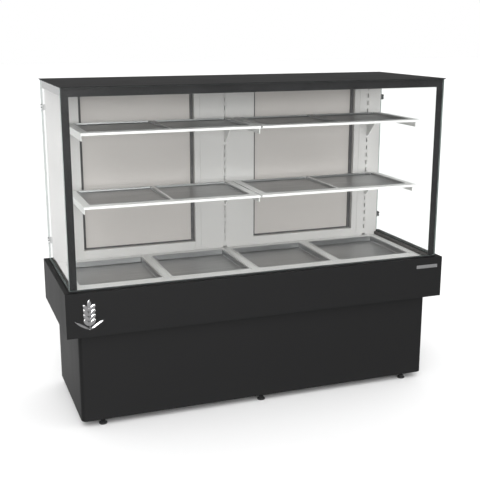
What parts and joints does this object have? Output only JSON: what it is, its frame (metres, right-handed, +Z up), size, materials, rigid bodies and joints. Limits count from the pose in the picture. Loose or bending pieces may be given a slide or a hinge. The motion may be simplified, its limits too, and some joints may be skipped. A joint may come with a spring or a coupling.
{
  "type": "bakery display case",
  "caption": "Floor-standing glass bakery display case with a black plinth and collar, a deck and two shelves of lift-out trays, and hinged rear doors.",
  "frame": {"origin": "on the floor plane, under the centre of the bounding box", "axes": "+X along the case to the customer's right, +Y from the customer's side to the server's side, +Z up"},
  "size_m": [1.5, 0.5665, 1.226],
  "materials": {
    "black_coat": "fine textured black powder coat on steel sheet",
    "white_coat": "smooth satin white powder coat on steel sheet",
    "light_grey_coat": "smooth light grey powder coat on steel sheet",
    "door_grey_coat": "satin warm grey powder coat on steel sheet",
    "tray_steel": "brushed stainless steel sheet",
    "clear_glass": "clear tempered glass with polished edges",
    "black_enamel": "black fired enamel on the inside of the glass",
    "seal_rubber": "matte black extruded rubber",
    "satin_steel": "satin stainless steel",
    "bright_chrome": "bright chrome with a fine brushed face",
    "foot_plastic": "matte black moulded plastic over a steel stud"
  },
  "bodies": {
    "case": {"base_frame": "black_coat", "base_front_panel": "black_coat", "base_left_panel": "black_coat", "base_right_panel": "black_coat", "base_back_panel": "black_coat", "collar_bottom": "black_coat", "collar_front": "black_coat", "collar_left": "black_coat", "collar_right": "black_coat", "collar_back": "black_coat", "deck_panel": "white_coat", "glass_gasket": "seal_rubber", "front_glass": "clear_glass", "left_glass": "clear_glass", "right_glass": "clear_glass", "glass_border": "black_enamel", "roof_panel": "black_coat", "roof_frame": "black_coat", "column_left": "light_grey_coat", "column_centre": "light_grey_coat", "column_right": "light_grey_coat", "slotted_standards": "light_grey_coat", "lower_bracket_left": "white_coat", "lower_bracket_centre": "white_coat", "lower_bracket_right": "white_coat", "upper_bracket_left": "white_coat", "upper_bracket_centre": "white_coat", "upper_bracket_right": "white_coat", "lower_shelf_left": "white_coat", "lower_shelf_right": "white_coat", "upper_shelf_left": "white_coat", "upper_shelf_right": "white_coat", "door_pivots": "satin_steel", "glass_clamps": "bright_chrome", "panel_screws": "satin_steel", "front_badges": "bright_chrome"},
    "deck_tray_1_body": {"deck_tray_1": "tray_steel"},
    "deck_tray_2_body": {"deck_tray_2": "tray_steel"},
    "deck_tray_3_body": {"deck_tray_3": "tray_steel"},
    "deck_tray_4_body": {"deck_tray_4": "tray_steel"},
    "lower_tray_1_body": {"lower_tray_1": "tray_steel"},
    "lower_tray_2_body": {"lower_tray_2": "tray_steel"},
    "lower_tray_3_body": {"lower_tray_3": "tray_steel"},
    "lower_tray_4_body": {"lower_tray_4": "tray_steel"},
    "upper_tray_1_body": {"upper_tray_1": "tray_steel"},
    "upper_tray_2_body": {"upper_tray_2": "tray_steel"},
    "upper_tray_3_body": {"upper_tray_3": "tray_steel"},
    "upper_tray_4_body": {"upper_tray_4": "tray_steel"},
    "left_door": {"door_left": "door_grey_coat", "door_seal_left": "seal_rubber", "door_handle_left": "satin_steel"},
    "right_door": {"door_right": "door_grey_coat", "door_seal_right": "seal_rubber", "door_handle_right": "satin_steel"},
    "foot_front_left_body": {"foot_front_left": "foot_plastic"},
    "foot_front_centre_body": {"foot_front_centre": "foot_plastic"},
    "foot_front_right_body": {"foot_front_right": "foot_plastic"},
    "foot_back_left_body": {"foot_back_left": "foot_plastic"},
    "foot_back_centre_body": {"foot_back_centre": "foot_plastic"},
    "foot_back_right_body": {"foot_back_right": "foot_plastic"}
  },
  "joints": [
    {"name": "left_door_swing", "type": "hinge", "parent": "case", "child": "left_door", "pos_m": [-0.603, 0.23845, 0.8695], "axis": [0, 0, 1], "range_deg": [0, 105]},
    {"name": "right_door_swing", "type": "hinge", "parent": "case", "child": "right_door", "pos_m": [0.603, 0.23845, 0.8695], "axis": [0, 0, -1], "range_deg": [0, 105]},
    {"name": "deck_tray_1_lift", "type": "slide", "parent": "case", "child": "deck_tray_1_body", "axis": [0, 0, 1], "range_m": [0, 0.06]},
    {"name": "deck_tray_2_lift", "type": "slide", "parent": "case", "child": "deck_tray_2_body", "axis": [0, 0, 1], "range_m": [0, 0.06]},
    {"name": "deck_tray_3_lift", "type": "slide", "parent": "case", "child": "deck_tray_3_body", "axis": [0, 0, 1], "range_m": [0, 0.06]},
    {"name": "deck_tray_4_lift", "type": "slide", "parent": "case", "child": "deck_tray_4_body", "axis": [0, 0, 1], "range_m": [0, 0.06]},
    {"name": "lower_tray_1_lift", "type": "slide", "parent": "case", "child": "lower_tray_1_body", "axis": [0, 0, 1], "range_m": [0, 0.06]},
    {"name": "lower_tray_2_lift", "type": "slide", "parent": "case", "child": "lower_tray_2_body", "axis": [0, 0, 1], "range_m": [0, 0.06]},
    {"name": "lower_tray_3_lift", "type": "slide", "parent": "case", "child": "lower_tray_3_body", "axis": [0, 0, 1], "range_m": [0, 0.06]},
    {"name": "lower_tray_4_lift", "type": "slide", "parent": "case", "child": "lower_tray_4_body", "axis": [0, 0, 1], "range_m": [0, 0.06]},
    {"name": "upper_tray_1_lift", "type": "slide", "parent": "case", "child": "upper_tray_1_body", "axis": [0, 0, 1], "range_m": [0, 0.06]},
    {"name": "upper_tray_2_lift", "type": "slide", "parent": "case", "child": "upper_tray_2_body", "axis": [0, 0, 1], "range_m": [0, 0.06]},
    {"name": "upper_tray_3_lift", "type": "slide", "parent": "case", "child": "upper_tray_3_body", "axis": [0, 0, 1], "range_m": [0, 0.06]},
    {"name": "upper_tray_4_lift", "type": "slide", "parent": "case", "child": "upper_tray_4_body", "axis": [0, 0, 1], "range_m": [0, 0.06]},
    {"name": "foot_front_left_screw", "type": "slide", "parent": "case", "child": "foot_front_left_body", "axis": [0, 0, -1], "range_m": [-0.009, 0.02]},
    {"name": "foot_front_centre_screw", "type": "slide", "parent": "case", "child": "foot_front_centre_body", "axis": [0, 0, -1], "range_m": [-0.009, 0.02]},
    {"name": "foot_front_right_screw", "type": "slide", "parent": "case", "child": "foot_front_right_body", "axis": [0, 0, -1], "range_m": [-0.009, 0.02]},
    {"name": "foot_back_left_screw", "type": "slide", "parent": "case", "child": "foot_back_left_body", "axis": [0, 0, -1], "range_m": [-0.009, 0.02]},
    {"name": "foot_back_centre_screw", "type": "slide", "parent": "case", "child": "foot_back_centre_body", "axis": [0, 0, -1], "range_m": [-0.009, 0.02]},
    {"name": "foot_back_right_screw", "type": "slide", "parent": "case", "child": "foot_back_right_body", "axis": [0, 0, -1], "range_m": [-0.009, 0.02]}
  ]
}
